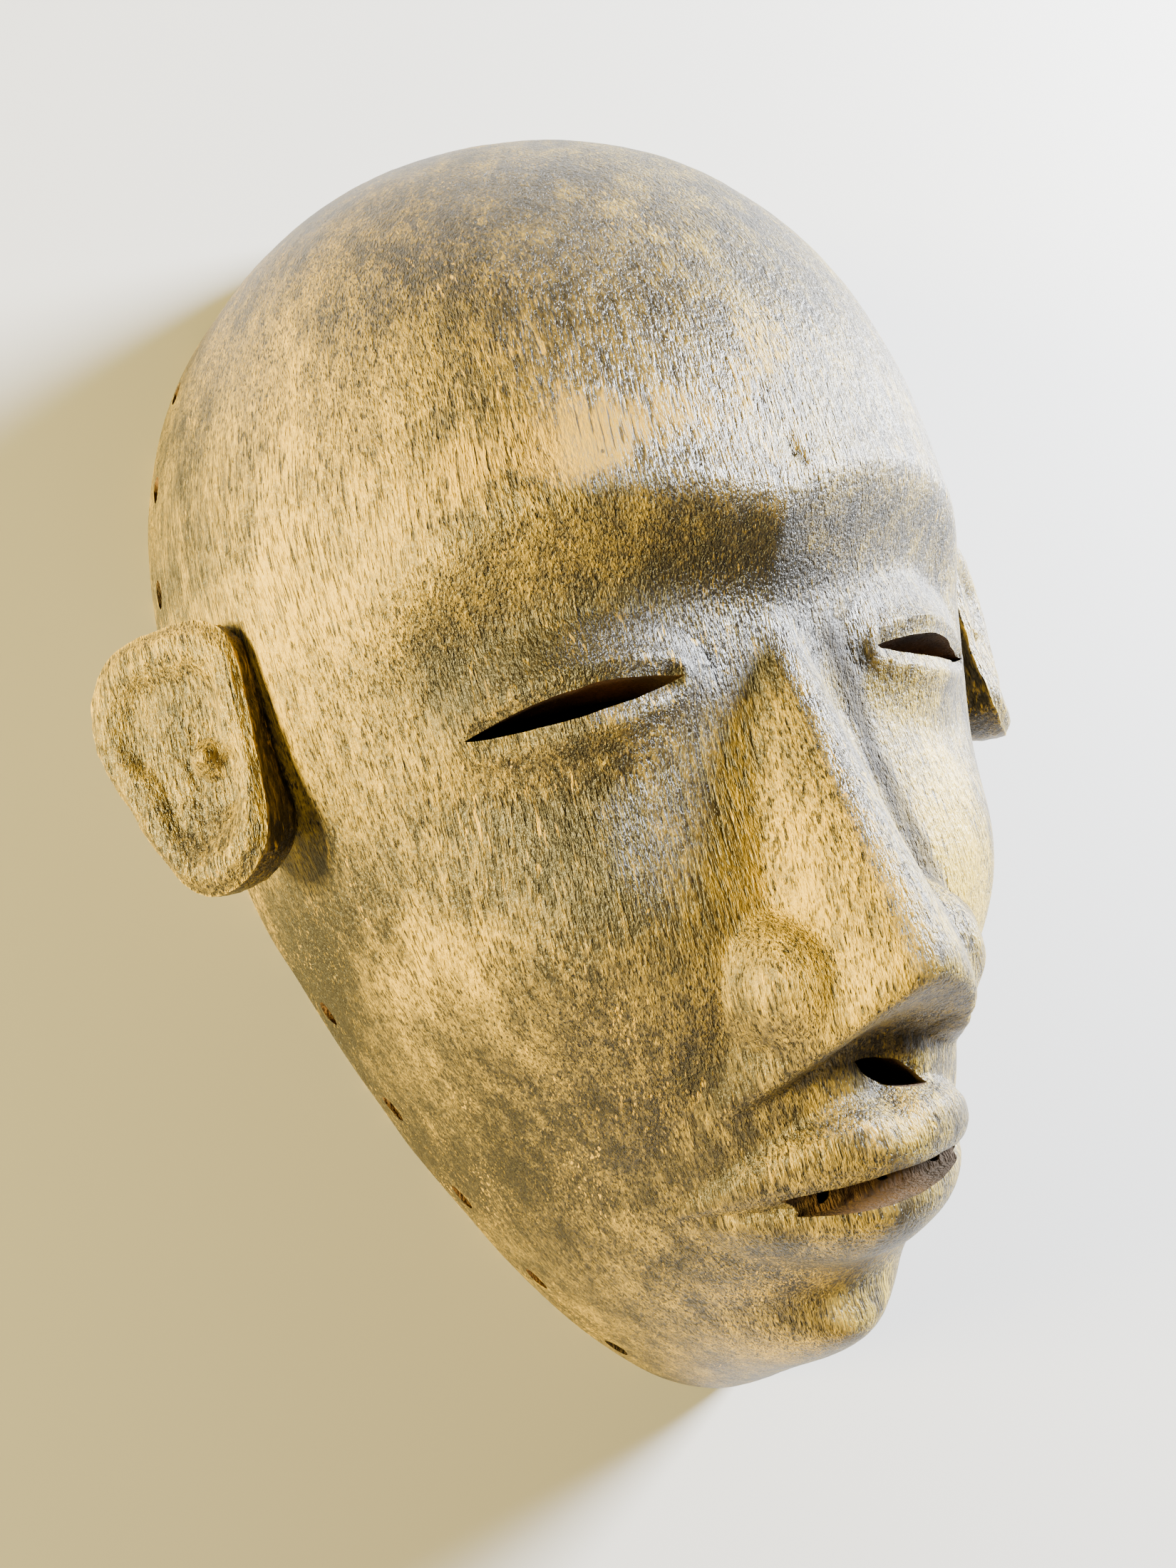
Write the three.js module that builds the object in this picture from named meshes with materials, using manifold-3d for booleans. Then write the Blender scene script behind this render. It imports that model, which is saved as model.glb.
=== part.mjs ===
// Dan mask: a wooden face mask hollowed from one block, lying on the flat rim of its open back.
// Millimetres. +X is the right of someone facing the mask, +Y runs to its crown, +Z out of its face.

import * as THREE from 'three';
import { mergeVertices } from 'three/addons/utils/BufferGeometryUtils.js';
import Module from 'manifold-3d';

const wasm = await Module();
wasm.setup();

// Driving dimensions of the head
const headTall = 240;
const headWide = 142;
const headDeep = 86;
const rimWide = 10;
const rimFlare = 1.8;
const flareHigh = 8;
const wallThick = 14;

// Pierced work
const eyeSlitLong = 27;
const eyeSlitHigh = 3.6;
const lipSlotLong = 12;
const lipSlotHigh = 3.4;
const mouthCutLong = 37;
const mouthCutHigh = 4.4;
const mouthCutDeep = 5;
const mouthBore = 2.2;
const tieBore = 3.6;
const tieUp = 7.5;
const tiePitch = 20;
const tieSlant = 42;

// Ears
const earTall = 42;
const earWide = 28;
const earThick = 8;
const earOut = 12;
const earTurn = 41;
const earLean = 2;
const earHelix = 4.2;
const earBowl = 2.6;
const earRoot = 6;

// The face is laid out on a head of this size, and follows the real one in proportion
const plan = { tall: 240, wide: 159, deep: 88 };
const eyeAt = { x: 33, y: -1.5, tilt: -3 };
const lipSlotAt = { x: 3, y: -58.5, tilt: -28 };
const mouthAt = { y: -72, cut: -72.4, holes: [-10, 1, 11] };
const earAt = { y: 8, z: 34 };

// Half sizes of the head above its flared rim, and its scale to the plan
const halfWide = headWide / 2 - rimFlare;
const halfTall = headTall / 2 - rimFlare;
const sx = (2 * halfWide) / plan.wide;
const sy = (2 * halfTall) / plan.tall;
const sz = headDeep / plan.deep;

// Shape of the bare head, as shares of its size
const eggShare = 0.36;
const crownLean = 0.122;
const domeRound = 2.3;
const domeFull = 1.72;

// Soft forms of the face: middle on the plan, reach across and along, and how far each stands out
const forehead = { x: 0, y: 52, wide: 46, tall: 34, high: 3 };
const cheek = { x: 43, y: -32, wide: 22, tall: 17, high: 5 };
const underCheek = { x: 42, y: -68, wide: 15, tall: 18, high: -3 };
const temple = { x: 66, y: 4, wide: 10, tall: 22, high: -2 };
const muzzle = { x: 0, y: -74, wide: 33, tall: 22, high: 8 };
const chin = { x: 0, y: -104, wide: 22, tall: 13, high: 11.5 };
const chinGroove = { x: 0, y: -91, wide: 17, tall: 4.5, high: -3.2 };
const philtrum = { x: 0, y: -58, wide: 3.2, tall: 4.5, high: -1.6 };
const behindNose = { x: 0, y: -34, wide: 13, tall: 20, high: 9 };
const behindMouth = { x: 0, y: -76, wide: 22, tall: 16, high: 8 };
const behindEye = { x: 33, y: 0, wide: 24, tall: 16, high: -4 };

// Brow, eye sockets and lids
const browLow = { x: 31, y: 18, reach: 33, drop: 6, soft: 8 };
const browEdge = { over: 4.5, tall: 6, high: 1.2, from: 38, to: 62 };
const socket = { deep: 7, from: 40, to: 68, low: -46, high: -6 };
const lid = { x: 33, y: -1, wide: 21, tall: 12, high: 4.6, soft: 1.15 };
const noseFold = { x: 20.5, y: -46, run: 24, spread: 12, wide: 4.2, deep: 1.3 };
const noseFoldFade = { foot: -76, low: -64, high: -48, top: -40 };

// Nose: a wedge from root to foot with heights over the rim, and a rounded wing at each side
const noseRidge = { top: 14, long: 72, stretch: 1.2, base: 72, root: 80, rise: 20, ease: 1.15 };
const noseSides = { half: 8, spread: 11.5, ease: 1.25, blunt: 0.34, full: 1.12, fall: 1.8 };
const noseRoot = { y: 8, drop: 0.1 };
const noseFoot = { y: -53.5, z: 82, slope: 3, arc: 2, arcWide: 7, soft: 7 };
const wing = { x: 12.5, y: -43, wide: 9, tall: 10, z: 75, high: 14 };

// Lips, seen from the line between them: half length, height and how far they stand out
const upperLip = {
  half: 28, tall: 11.5, taper: 0.7, high: 6, flat: 0.52, peak: 0.75, end: 0.82, fade: 1.16,
};
const lowerLip = {
  half: 26, tall: 12.5, taper: 0.62, high: 6.6, flat: 0.42, peak: 0.9, end: 0.84, fade: 1.14,
};
const lipBow = { dip: 1.6, wide: 4 };
const mouthDroop = { drop: 1.2, half: 26 };

// How far out on the head the face is modelled, as shares of it, and how softly its parts join
const faceWithin = { from: 0.8, to: 0.97, wing: 0.8, lips: 0.9 };
const faceJoin = { nose: 2, wing: 3 };

// Relief of an ear's front, on its unit disc, and the easing of its edge and of its bowl
const earLobe = { x: -0.35, y: -0.8, wide: 0.5, tall: 0.3, high: 2 };
const earKnob = { x: -0.56, y: -0.12, wide: 0.17, tall: 0.14, high: 4.4 };
const earConcha = { x: -0.24, y: 0, wide: 0.3, tall: 0.32, high: -3.2 };
const earEdge = { from: 0.84, drop: 1.4, bowl: 0.14, back: 0.95 };
const earRootRun = { from: -0.7, to: 0.5, edge: 0.7 };

// How finely the carving is cut into facets
const outerCols = 42;
const outerRows = 54;
const innerCols = 20;
const innerRows = 26;
const earCols = 12;
const earRows = 14;
const boreSides = 6;
const gather = { across: 0.36, along: 0.42, middle: -0.34, edge: 0.26 };

const TAU = 2 * Math.PI;
const { lerp } = THREE.MathUtils;
const radians = (degrees) => (degrees * Math.PI) / 180;
const clamp = (t) => Math.min(1, Math.max(0, t));
const bump = (x, y, cx, cy, rx, ry) => Math.exp(-(((x - cx) / rx) ** 2) - ((y - cy) / ry) ** 2);
const softMax = (a, b, k) => 0.5 * (a + b + Math.hypot(a - b, k));
const softMin = (a, b, k) => 0.5 * (a + b - Math.hypot(a - b, k));

function step(low, high, x) {
  const t = clamp((x - low) / (high - low));
  return t * t * (3 - 2 * t);
}

// A square of places from -1 to 1 laid over the unit disc, with its lines gathered at the edge,
// and at the nose and mouth where it is the carved side's
function discPlace(u, v) {
  const a = u * Math.sqrt(1 - (v * v) / 2);
  const b = v * Math.sqrt(1 - (u * u) / 2);
  const r = Math.hypot(a, b);
  if (r < 1e-9) return [0, 0];
  const k = Math.sin((Math.min(1, r) * (1 - gather.edge + gather.edge * r * r) * Math.PI) / 2) / r;
  return [a * k, b * k];
}

function gathered(u, v) {
  const wave = (t) => Math.sin(Math.PI * t);
  const across = u * (1 - gather.across * (1 - u * u));
  const along = v - (gather.along / Math.PI) * (wave(v - gather.middle) - wave(gather.middle));
  return discPlace(across, along);
}

// Height of a smooth dome over the unit disc
function dome(X, Y, deep) {
  const rho = Math.min(1, Math.hypot(X, Y));
  return deep * (1 + crownLean * Y) * (1 - rho ** domeRound) ** (1 / domeFull);
}

const swell = (form, x, y) => form.high * bump(x, y, form.x, form.y, form.wide, form.tall);

// Brow, sockets, lids, cheeks, muzzle and chin, added to the dome
function modelling(x, y) {
  const ax = Math.hypot(x, 1);
  const brow = browLow.y - browLow.drop * ((ax - browLow.x) / browLow.reach) ** 2;
  const under = 1 - step(-browLow.soft, browLow.soft, y - brow);
  const inSocket = under * step(socket.low, socket.high, y) * (1 - step(socket.from, socket.to, ax));
  const onBrow = Math.exp(-(((y - brow - browEdge.over) / browEdge.tall) ** 2));
  const onLid = 1 - step(0, lid.soft, Math.hypot((ax - lid.x) / lid.wide, (y - lid.y) / lid.tall));
  const down = clamp((noseFold.y - y) / noseFold.run);
  const onFold = Math.exp(-(((ax - noseFold.x - noseFold.spread * down) / noseFold.wide) ** 2));
  const foldLow = step(noseFoldFade.foot, noseFoldFade.low, y);
  const foldHigh = 1 - step(noseFoldFade.high, noseFoldFade.top, y);
  const middle = [forehead, muzzle, chin, chinGroove];
  const paired = [cheek, underCheek, temple];
  return middle.reduce((sum, form) => sum + swell(form, x, y), 0)
    + paired.reduce((sum, form) => sum + swell(form, ax, y), 0)
    - socket.deep * inSocket
    + browEdge.high * onBrow * (1 - step(browEdge.from, browEdge.to, ax))
    + lid.high * onLid
    - noseFold.deep * onFold * foldLow * foldHigh;
}

// Wedge of the nose, with its foot cut back
function nose(x, y) {
  const along = clamp((noseRidge.top - y) / noseRidge.long) * noseRidge.stretch;
  const over = Math.max(0, y - noseRoot.y);
  const ridge = noseRidge.root + noseRidge.rise * along ** noseRidge.ease;
  const half = noseSides.half + noseSides.spread * along ** noseSides.ease;
  const across = Math.hypot(x / half, noseSides.blunt) ** noseSides.fall;
  const wedge = noseRidge.base + (ridge - noseRidge.base) * (noseSides.full - across);
  const foot = noseFoot.z + (y - noseFoot.y - noseFoot.arc * Math.cos(x / noseFoot.arcWide)) * noseFoot.slope;
  return softMin(wedge - noseRoot.drop * over * over, foot, noseFoot.soft);
}

function noseWing(x, y) {
  const ax = Math.hypot(x, 1);
  const inside = 1 - ((ax - wing.x) / wing.wide) ** 2 - ((y - wing.y) / wing.tall) ** 2;
  return wing.z + wing.high * Math.sign(inside) * Math.sqrt(Math.abs(inside));
}

// Full lips, raised over the muzzle, with the line of the mouth between them
const mouthY = (x) => mouthAt.y - mouthDroop.drop * (x / mouthDroop.half) ** 2;

function lip(form, x, away, dip) {
  const wide = Math.max(0, 1 - (x / form.half) ** 2);
  const share = away / (form.tall * wide ** form.taper - dip + 0.001);
  return form.high * wide ** 0.5 * (1 - step(form.end, form.fade, share))
    * (form.flat + (1 - form.flat) * Math.sin(Math.PI * clamp(share) ** form.peak));
}

function lips(x, y) {
  const away = y - mouthY(x);
  const bow = lipBow.dip * Math.exp(-((x / lipBow.wide) ** 2));
  return away > 0 ? lip(upperLip, x, away, bow) : lip(lowerLip, x, -away, 0);
}

// Height of the carved face at a place of the plan
function carvedHeight(X, Y) {
  const x = (plan.wide / 2) * (1 + eggShare * Y) * X;
  const y = (plan.tall / 2) * Y;
  const rho = Math.hypot(X, Y);
  let z = dome(X, Y, plan.deep) + modelling(x, y) * (1 - step(faceWithin.from, faceWithin.to, rho));
  z = softMax(z, nose(x, y), faceJoin.nose);
  if (rho < faceWithin.wing) z = softMax(z, noseWing(x, y), faceJoin.wing);
  if (rho < faceWithin.lips) z += lips(x, y) + swell(philtrum, x, y);
  return z;
}

// The outside of the head, drawn out a little to its rim
function outerPoint(X, Y) {
  const z = sz * carvedHeight(X, Y);
  const flare = rimFlare * Math.exp(-z / flareHigh);
  return new THREE.Vector3((halfWide + flare) * (1 + eggShare * Y) * X, (halfTall + flare) * Y, z);
}

// The hollow: a smaller dome, a little deeper behind the nose and the mouth
function innerPoint(X, Y) {
  const x = (headWide / 2 - rimWide) * (1 + eggShare * Y) * X;
  const y = (headTall / 2 - rimWide) * Y;
  const px = x / sx;
  const py = y / sy;
  const deeper = swell(behindNose, px, py) + swell(behindMouth, px, py) + swell(behindEye, Math.abs(px), py);
  return new THREE.Vector3(x, y, dome(X, Y, headDeep - wallThick) + sz * deeper);
}

// Where the head's side stands at a height over the rim
function headSide(y, z) {
  const Y = y / halfTall;
  let inside = 0;
  let outside = Math.sqrt(1 - Y * Y);
  for (let i = 0; i < 40; i += 1) {
    const middle = (inside + outside) / 2;
    if (outerPoint(middle, Y).z > z) inside = middle;
    else outside = middle;
  }
  return outerPoint(inside, Y).x;
}

// Turns triangles of points into a solid
function toSolid(geometry) {
  const bare = new THREE.BufferGeometry();
  bare.setAttribute('position', geometry.getAttribute('position').clone());
  if (geometry.index) bare.setIndex(geometry.index);
  const merged = mergeVertices(bare, 1e-4);
  const mesh = new wasm.Mesh({
    numProp: 3,
    vertProperties: new Float32Array(merged.getAttribute('position').array),
    triVerts: new Uint32Array(merged.index.array),
  });
  return new wasm.Manifold(mesh);
}

function geometryOf(points, faces) {
  const geometry = new THREE.BufferGeometry();
  geometry.setAttribute('position', new THREE.Float32BufferAttribute(points.flatMap((p) => p.toArray()), 3));
  geometry.setIndex(faces.flat());
  return geometry;
}

// Facets of a grid of points, each four-sided cell parted along its shorter diagonal
function gridFaces(points, cols, rows, first, flip) {
  const faces = [];
  const put = (a, b, c) => faces.push(flip ? [a, c, b] : [a, b, c]);
  for (let j = 0; j < rows; j += 1) {
    for (let i = 0; i < cols; i += 1) {
      const a = first + j * (cols + 1) + i;
      const b = a + 1;
      const c = b + cols + 1;
      const d = a + cols + 1;
      if (points[a].distanceTo(points[c]) < points[b].distanceTo(points[d])) {
        put(a, b, c);
        put(a, c, d);
      } else {
        put(a, b, d);
        put(b, c, d);
      }
    }
  }
  return faces;
}

function gridRing(cols, rows, first) {
  const at = (i, j) => first + j * (cols + 1) + i;
  const ring = [];
  for (let i = 0; i < cols; i += 1) ring.push(at(i, 0));
  for (let j = 0; j < rows; j += 1) ring.push(at(cols, j));
  for (let i = cols; i > 0; i -= 1) ring.push(at(i, rows));
  for (let j = rows; j > 0; j -= 1) ring.push(at(0, j));
  return ring;
}

function gridPoints(place, cols, rows) {
  const points = [];
  for (let j = 0; j <= rows; j += 1) {
    for (let i = 0; i <= cols; i += 1) points.push(place(lerp(-1, 1, i / cols), lerp(-1, 1, j / rows)));
  }
  return points;
}

// A solid under a domed surface, closed flat at floor, which is at or below its edge
function underDome(surface, spread, cols, rows, floor) {
  const points = gridPoints((u, v) => surface(...spread(u, v)), cols, rows);
  const faces = gridFaces(points, cols, rows, 0, false);
  let ring = gridRing(cols, rows, 0);
  for (const k of ring) points[k].z = 0;
  if (floor < 0) {
    const low = ring.map((k) => points.push(points[k].clone().setZ(floor)) - 1);
    ring.forEach((k, i) => {
      const n = (i + 1) % ring.length;
      faces.push([k, low[i], low[n]], [k, low[n], ring[n]]);
    });
    ring = low;
  }
  const middle = points.push(new THREE.Vector3(0, 0, floor)) - 1;
  ring.forEach((k, i) => faces.push([ring[(i + 1) % ring.length], k, middle]));
  return toSolid(geometryOf(points, faces));
}

// Outline of an ear: how far it reaches from its middle, every 30 degrees from outward
const earReach = [18, 23.5, 29.3, 28.6, 28.4, 19.8, 17, 19.4, 28.4, 29.6, 20.8, 16.8];
const earPlan = { tall: 59, wide: 37, thick: 9 };

function earRadius(angle) {
  const n = earReach.length;
  const t = ((angle / TAU) * n + n) % n;
  const k = Math.floor(t);
  const f = t - k;
  const [a, b, c, d] = [-1, 0, 1, 2].map((i) => earReach[(k + i + n) % n]);
  return b + 0.5 * f * (c - a + f * (2 * a - 5 * b + 4 * c - d + f * (3 * (b - c) + d - a)));
}

// Relief of the ear's front: helix band, bowl, concha and tragus, over the ear's unit disc
function earRelief(X, Y, reach) {
  const r = Math.hypot(X, Y);
  const band = 1 - earHelix / reach;
  const bowl = 1 - step(band - earEdge.bowl, band, r);
  const forms = [earLobe, earKnob, earConcha].reduce((sum, form) => sum + swell(form, X, Y), 0);
  return (earThick / earPlan.thick) * (forms - earEdge.drop * step(earEdge.from, 1, r) ** 2) - earBowl * bowl;
}

function earSolid(side) {
  const turn = radians(earTurn);
  const lean = radians(earLean);
  const out = new THREE.Vector3(Math.cos(turn), 0, -Math.sin(turn));
  const normal = new THREE.Vector3(Math.sin(turn), 0, Math.cos(turn));
  const up = new THREE.Vector3(0, 1, 0);
  const across = out.clone().multiplyScalar(Math.cos(lean)).addScaledVector(up, -Math.sin(lean));
  const along = up.clone().multiplyScalar(Math.cos(lean)).addScaledVector(out, Math.sin(lean));
  const [y, z] = [earAt.y * sy, earAt.z * sz];
  const middle = new THREE.Vector3(headSide(y, z) + earOut, y, z);
  const place = (X, Y, height, share) => {
    const reach = earRadius(Math.atan2(Y, X));
    const a = (X * reach * share * earWide) / earPlan.wide;
    const b = (Y * reach * share * earTall) / earPlan.tall;
    const p = middle.clone().addScaledVector(across, a).addScaledVector(along, b);
    p.addScaledVector(normal, height);
    p.x *= side;
    return p;
  };
  const flat = (u, v) => [u * Math.sqrt(1 - (v * v) / 2), v * Math.sqrt(1 - (u * u) / 2)];
  const front = gridPoints((u, v) => {
    const [X, Y] = flat(u, v);
    const reach = earRadius(Math.atan2(Y, X)) * (earWide / earPlan.wide);
    return place(X, Y, earRelief(X, Y, reach), 1);
  }, earCols, earRows);
  const back = gridPoints((u, v) => {
    const [X, Y] = flat(u, v);
    const inner = 1 - step(earRootRun.edge, 1, Math.hypot(X, Y));
    const root = earRoot * (1 - step(earRootRun.from, earRootRun.to, X)) * inner;
    return place(X, Y, -earThick - root, earEdge.back);
  }, earCols, earRows);
  const points = [...front, ...back];
  const flip = side < 0;
  const faces = gridFaces(points, earCols, earRows, 0, flip);
  faces.push(...gridFaces(points, earCols, earRows, front.length, !flip));
  const ring = gridRing(earCols, earRows, 0);
  ring.forEach((k, i) => {
    const n = ring[(i + 1) % ring.length];
    const wall = [[k, k + front.length, n + front.length], [k, n + front.length, n]];
    faces.push(...wall.map(([a, b, c]) => (flip ? [a, c, b] : [a, b, c])));
  });
  return toSolid(geometryOf(points, faces));
}

// A lens-shaped cutter along Z between two pointed ends
function lensCutter(x, y, long, high, tilt, low, top) {
  const shape = new THREE.Shape();
  shape.moveTo(-long / 2, 0);
  shape.quadraticCurveTo(0, -high, long / 2, 0);
  shape.quadraticCurveTo(0, high, -long / 2, 0);
  const depth = top - low;
  const cutter = new THREE.ExtrudeGeometry(shape, { depth, bevelEnabled: false, curveSegments: 6 });
  cutter.rotateZ(radians(tilt));
  cutter.translate(x, y, low);
  return toSolid(cutter);
}

function boreCutter(from, direction, bore, long) {
  const cutter = new THREE.CylinderGeometry(bore / 2, bore / 2, long, boreSides);
  const turn = new THREE.Quaternion().setFromUnitVectors(new THREE.Vector3(0, 1, 0), direction);
  cutter.applyQuaternion(turn);
  cutter.translate(from.x, from.y, from.z);
  return toSolid(cutter);
}

// Places at even steps along the rim, with the way outward and the way along it
function rimPlaces(pitch) {
  const fine = 720;
  const rim = [];
  for (let i = 0; i <= fine; i += 1) {
    const angle = (i / fine) * TAU;
    rim.push(outerPoint(Math.sin(angle), -Math.cos(angle)).setZ(0));
  }
  const length = rim.slice(1).reduce((sum, p, i) => sum + p.distanceTo(rim[i]), 0);
  const count = Math.round(length / pitch);
  const places = [];
  let run = 0;
  for (let i = 0; i < fine; i += 1) {
    const next = run + rim[i].distanceTo(rim[i + 1]);
    const k = places.length + 0.5;
    if (k < count && next > (k * length) / count) {
      const along = rim[i + 1].clone().sub(rim[i]).normalize();
      places.push({ at: rim[i], along, outward: new THREE.Vector3(along.y, -along.x, 0) });
    }
    run = next;
  }
  return places;
}

function tieCutters() {
  const slant = radians(tieSlant);
  const clearOfEars = ({ at }) => Math.abs(at.y - earAt.y * sy) > earTall / 2 + tieBore;
  return rimPlaces(tiePitch).filter(clearOfEars).map(({ at, along, outward }) => {
    const side = Math.sign(at.x) || 1;
    const way = outward.clone().multiplyScalar(Math.cos(slant));
    way.addScaledVector(along, side * Math.sin(slant));
    const start = at.clone().setZ(tieUp).addScaledVector(way, -rimWide / 2);
    return boreCutter(start, way, tieBore, 4 * rimWide);
  });
}

function mouthCutters() {
  const floor = sz * carvedHeight(0, mouthAt.y / (plan.tall / 2)) - mouthCutDeep;
  const y = mouthAt.cut * sy;
  const gouge = lensCutter(0, y, mouthCutLong, mouthCutHigh, 0, floor, 2 * headDeep);
  const through = new THREE.Vector3(0, 0, 1);
  const holes = mouthAt.holes.map((x) => {
    const from = new THREE.Vector3(x * sx, y, floor);
    return boreCutter(from, through, mouthBore, 3 * wallThick);
  });
  return [gouge, ...holes];
}

function carvedMask() {
  let mask = underDome(outerPoint, gathered, outerCols, outerRows, 0);
  mask = mask.add(earSolid(1)).add(earSolid(-1));
  mask = mask.subtract(underDome(innerPoint, discPlace, innerCols, innerRows, -rimWide));
  const pierce = (at, side, long, high) => {
    return lensCutter(side * at.x * sx, at.y * sy, long, high, side * at.tilt, rimWide, 2 * headDeep);
  };
  const slits = [1, -1].map((side) => pierce(eyeAt, side, eyeSlitLong, eyeSlitHigh));
  const lipSlot = pierce(lipSlotAt, 1, lipSlotLong, lipSlotHigh);
  for (const cutter of [...slits, lipSlot, ...mouthCutters(), ...tieCutters()]) {
    mask = mask.subtract(cutter);
  }
  const { vertProperties, triVerts } = mask.getMesh();
  const geometry = new THREE.BufferGeometry();
  geometry.setAttribute('position', new THREE.BufferAttribute(vertProperties, 3));
  geometry.setIndex(new THREE.BufferAttribute(triVerts, 1));
  geometry.computeVertexNormals();
  return geometry;
}

const darkWood = new THREE.MeshStandardMaterial({ color: 0x3a2f22, roughness: 0.55, metalness: 0 });
const carving = new THREE.Mesh(carvedMask(), darkWood);
carving.name = 'carved_mask';

const danMask = new THREE.Group();
danMask.add(carving);
export default danMask;
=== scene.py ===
"""Dan mask: its fine carving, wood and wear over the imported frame, with its light and camera."""
import math

import bpy
import numpy as np
from mathutils import Matrix, Vector


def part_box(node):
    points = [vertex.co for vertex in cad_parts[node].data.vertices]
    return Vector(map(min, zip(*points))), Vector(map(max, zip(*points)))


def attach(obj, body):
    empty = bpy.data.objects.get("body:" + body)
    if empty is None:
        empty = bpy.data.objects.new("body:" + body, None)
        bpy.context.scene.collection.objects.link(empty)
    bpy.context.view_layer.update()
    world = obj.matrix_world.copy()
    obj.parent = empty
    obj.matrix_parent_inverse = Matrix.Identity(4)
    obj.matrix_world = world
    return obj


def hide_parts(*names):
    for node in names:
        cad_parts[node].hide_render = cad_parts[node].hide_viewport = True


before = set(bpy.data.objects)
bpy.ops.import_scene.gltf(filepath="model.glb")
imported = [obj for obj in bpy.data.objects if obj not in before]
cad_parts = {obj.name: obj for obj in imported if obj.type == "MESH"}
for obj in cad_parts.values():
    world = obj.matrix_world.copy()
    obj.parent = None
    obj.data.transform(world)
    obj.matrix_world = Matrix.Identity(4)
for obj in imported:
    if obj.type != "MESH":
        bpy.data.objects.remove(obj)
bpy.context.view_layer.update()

# Sizes in millimetres, the same as the solid's, save for the softer bowl and knob of the ear
HEAD_TALL = 240.0
HEAD_WIDE = 142.0
HEAD_DEEP = 86.0
RIM_WIDE = 10.0
RIM_FLARE = 1.8
FLARE_HIGH = 8.0
WALL_THICK = 14.0
EYE_SLIT = {"long": 27.0, "high": 3.6, "x": 33.0, "y": -1.5, "tilt": -3.0}
LIP_SLOT = {"long": 12.0, "high": 3.4, "x": 3.0, "y": -58.5, "tilt": -28.0}
MOUTH_CUT = {"long": 37.0, "high": 4.4, "deep": 5.0, "y": -72.4, "bore": 2.2, "holes": (-10.0, 1.0, 11.0)}
TIE = {"bore": 3.6, "up": 7.5, "pitch": 20.0, "slant": 42.0}
EAR = {"tall": 42.0, "wide": 28.0, "thick": 8.0, "out": 12.0, "turn": 41.0, "lean": 2.0}
EAR_HELIX = 4.2
EAR_BOWL = 1.7
EAR_BOWL_SLOPE = 0.26
EAR_KNOB = {"x": -0.26, "y": -0.04, "wide": 0.22, "tall": 0.17, "high": 3.4}
EAR_AT = (8.0, 34.0)
EAR_ROOT = 6.0
EAR_WITHIN = {"out": 60.0, "along": 26.0, "over": 12.0}
EAR_REACH = np.array([18, 23.5, 29.3, 28.6, 28.4, 19.8, 17, 19.4, 28.4, 29.6, 20.8, 16.8])
EAR_PLAN = {"tall": 59.0, "wide": 37.0, "thick": 9.0}

# The face is laid out on a head of this size, and follows the real one in proportion
PLAN_TALL = 240.0
PLAN_WIDE = 159.0
PLAN_DEEP = 88.0
HALF_WIDE = HEAD_WIDE / 2 - RIM_FLARE
HALF_TALL = HEAD_TALL / 2 - RIM_FLARE
SX = 2 * HALF_WIDE / PLAN_WIDE
SY = 2 * HALF_TALL / PLAN_TALL
SZ = HEAD_DEEP / PLAN_DEEP
EGG_SHARE = 0.36
CROWN_LEAN = 0.122
DOME_ROUND = 2.3
DOME_FULL = 1.72
MOUTH_Y = -72.0
CHEEK_FADE = (0.8, 0.97)
LID = {"x": 33.0, "y": -1.0, "wide": 21.0, "high": 12.0, "full": 4.6}
BROW = {"y": 12.0, "arch": 6.0, "x": 31.0, "wide": 33.0, "soft": 8.0, "edge": 1.2}
SOCKET_DEEP = 7.0
NOSE = {"top": 14.0, "long": 72.0, "tip": 1.2, "half": 8.0, "spread": 11.5}
NOSE_HIGH = {"base": 72.0, "ridge": 80.0, "rise": 20.0}
NOSE_FOOT = {"y": -53.5, "z": 82.0, "steep": 3.0, "wave": 2.0}
WING = {"x": 12.5, "y": -43.0, "wide": 9.0, "high": 10.0, "z": 75.0, "full": 14.0}
LIP_UP = {"half": 28.0, "high": 11.5, "full": 6.0, "notch": 1.6}
LIP_DOWN = {"half": 26.0, "high": 12.5, "full": 6.6}

# Multipliers that scramble whole numbers into noise
PLACE_HASH = (73856093, 19349663, 83492791)
CELL_HASH = (374761393, 668265263, 9176)
SEED_HASH = 2654435
MIX_HASH = (2246822519, 3266489917, 1274126177)
WORD = 0xFFFFFFFF
HALF_WORD = 0xFFFF
SEED_SHIFT = 17.31

# Fineness of the meshes, the row round which the face's grid is closest, and the angle of a sharp edge
OUTER_GRID = (212, 250)
INNER_GRID = (96, 128)
EAR_RINGS = {"around": 156, "front": 40, "side": 9, "back": 14}
GRID_MIDDLE = -0.34
SHARP_EDGE = 48.0

# The frame's own scale: metres to a millimetre of the sizes above
low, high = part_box("carved_mask")
MM = (high[1] - low[1]) / HEAD_TALL


def step(low_edge, high_edge, x):
    """A smooth rise from 0 at low_edge to 1 at high_edge."""
    t = np.clip((x - low_edge) / (high_edge - low_edge), 0, 1)
    return t * t * (3 - 2 * t)


def bump(x, y, cx, cy, rx, ry):
    """A round swelling of height 1 at (cx, cy)."""
    return np.exp(-(((x - cx) / rx) ** 2) - ((y - cy) / ry) ** 2)


def soft_max(a, b, k):
    """The greater of two heights, with the crease between them rounded by k."""
    return 0.5 * (a + b + np.hypot(a - b, k))


def soft_min(a, b, k):
    """The lesser of two heights, with the edge between them rounded by k."""
    return 0.5 * (a + b - np.hypot(a - b, k))


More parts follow.
